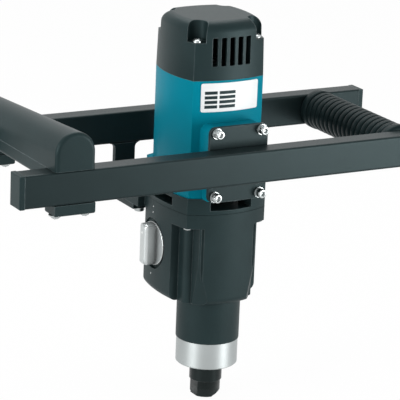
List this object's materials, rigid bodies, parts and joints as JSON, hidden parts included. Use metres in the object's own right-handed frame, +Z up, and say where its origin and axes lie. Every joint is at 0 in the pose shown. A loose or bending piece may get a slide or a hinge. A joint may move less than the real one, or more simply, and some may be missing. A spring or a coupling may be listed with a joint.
{
  "type": "mixing drill",
  "caption": "Hand held paddle mixing drill: upright motor and two speed gearbox between two long bars, with a switch handle on one side and a ribbed grip on the other.",
  "frame": {"origin": "centre of the spindle's tip face, at the mouth of its threaded hole", "axes": "+Z up along the spindle towards the motor, -Y towards the front bar, +X towards the ribbed grip"},
  "size_m": [0.45, 0.191, 0.3615],
  "materials": {
    "teal_plastic": "moulded, satin",
    "black_plastic": "moulded, fine texture",
    "black_casting": "cast, black coated",
    "black_paint": "powder coated",
    "zinc_steel": "zinc plated",
    "machined_steel": "machined",
    "dark_steel": "black oxide",
    "bright_aluminium": "turned",
    "copper": "enamelled wire",
    "brass": "pressed sheet",
    "carbon": "pressed carbon",
    "black_rubber": "moulded rubber",
    "silver_plastic": "silver, satin",
    "plate_white": "bare plate"
  },
  "bodies": {
    "body": {"armature_lower_bearing": "machined_steel", "armature_upper_bearing": "machined_steel", "bar_end_caps": "black_plastic", "bearing_plate": "bright_aluminium", "bracket_bolts": "zinc_steel", "brush_holders": "brass", "carbon_brushes": "carbon", "cord_inlet": "black_rubber", "countershaft_lower_bearing": "machined_steel", "countershaft_upper_bearing": "machined_steel", "cover_screws": "zinc_steel", "end_bracket": "black_plastic", "field_coils": "copper", "field_core": "machined_steel", "flat_washers": "zinc_steel", "foot_screws": "zinc_steel", "fork_rod": "machined_steel", "frame_bolts": "zinc_steel", "front_bar": "black_paint", "front_foot": "black_plastic", "front_plate": "black_paint", "gear_housing": "black_casting", "gear_housing_cover": "black_plastic", "gear_housing_screws": "zinc_steel", "grip_tube": "machined_steel", "handle_lower": "black_plastic", "handle_screws": "zinc_steel", "handle_upper": "black_plastic", "motor_housing": "teal_plastic", "nose_ring": "bright_aluminium", "oil_seal": "black_rubber", "rating_plate": "plate_white", "rear_bar": "black_paint", "rear_bracket_left": "black_paint", "rear_bracket_right": "black_paint", "rear_foot": "black_plastic", "rubber_grip": "black_rubber", "spindle_lower_bearing": "machined_steel", "spindle_upper_bearing": "machined_steel", "spring_washers": "zinc_steel", "top_cover": "black_plastic", "trigger_pin": "machined_steel", "trigger_switch": "black_plastic"},
    "armature": {"armature_shaft": "machined_steel", "armature_core": "machined_steel", "armature_windings": "copper", "commutator": "copper", "cooling_fan": "black_plastic"},
    "layshaft": {"countershaft": "machined_steel", "driven_gear": "machined_steel"},
    "output_spindle": {"spindle": "dark_steel", "spacer_tube": "machined_steel"},
    "low_wheel": {"low_gear": "machined_steel"},
    "high_wheel": {"high_gear": "machined_steel"},
    "sleeve": {"clutch_sleeve": "machined_steel"},
    "fork": {"shift_fork": "machined_steel"},
    "knob": {"speed_knob": "silver_plastic"},
    "trigger_lever": {"trigger": "black_plastic"},
    "button": {"lock_button": "black_plastic"}
  },
  "joints": [
    {"name": "armature_spin", "type": "hinge", "parent": "body", "child": "armature", "pos_m": [0, 0.016, 0.25], "axis": [0, 0, 1], "continuous": true},
    {"name": "layshaft_spin", "type": "hinge", "parent": "body", "child": "layshaft", "pos_m": [0, 0.036, 0.14], "axis": [0, 0, 1], "continuous": true},
    {"name": "spindle_spin", "type": "hinge", "parent": "body", "child": "output_spindle", "pos_m": [0, 0, 0.08], "axis": [0, 0, 1], "continuous": true},
    {"name": "low_gear_spin", "type": "hinge", "parent": "body", "child": "low_wheel", "pos_m": [0, 0, 0.113], "axis": [0, 0, 1], "continuous": true},
    {"name": "high_gear_spin", "type": "hinge", "parent": "body", "child": "high_wheel", "pos_m": [0, 0, 0.152], "axis": [0, 0, 1], "continuous": true},
    {"name": "selector_turn", "type": "hinge", "parent": "body", "child": "knob", "pos_m": [-0.0418, 0.029, 0.144], "axis": [1, 0, 0], "range_deg": [0, 180]},
    {"name": "fork_slide", "type": "slide", "parent": "body", "child": "fork", "axis": [0, 0, 1], "range_m": [0, 0.006]},
    {"name": "sleeve_spin", "type": "hinge", "parent": "fork", "child": "sleeve", "pos_m": [0, 0, 0.129], "axis": [0, 0, 1], "continuous": true},
    {"name": "trigger_pull", "type": "hinge", "parent": "body", "child": "trigger_lever", "pos_m": [-0.172, 0.062, 0.2409], "axis": [-1, 0, 0], "range_deg": [0, 6], "stiffness_Nm_per_rad": 1.5, "springref_deg": -5.73},
    {"name": "lock_press", "type": "slide", "parent": "body", "child": "button", "axis": [-1, 0, 0], "range_m": [0, 0.0025], "stiffness_N_per_m": 400, "springref_m": -0.002}
  ],
  "couplings": [
    {"joint": "layshaft_spin", "follows": "armature_spin", "ratio": -0.25},
    {"joint": "spindle_spin", "follows": "armature_spin", "ratio": 0.083333},
    {"joint": "low_gear_spin", "follows": "armature_spin", "ratio": 0.083333},
    {"joint": "high_gear_spin", "follows": "armature_spin", "ratio": 0.17857},
    {"joint": "sleeve_spin", "follows": "armature_spin", "ratio": 0.083333},
    {"joint": "selector_turn", "follows": "fork_slide", "rad_per_m": 523.6}
  ]
}
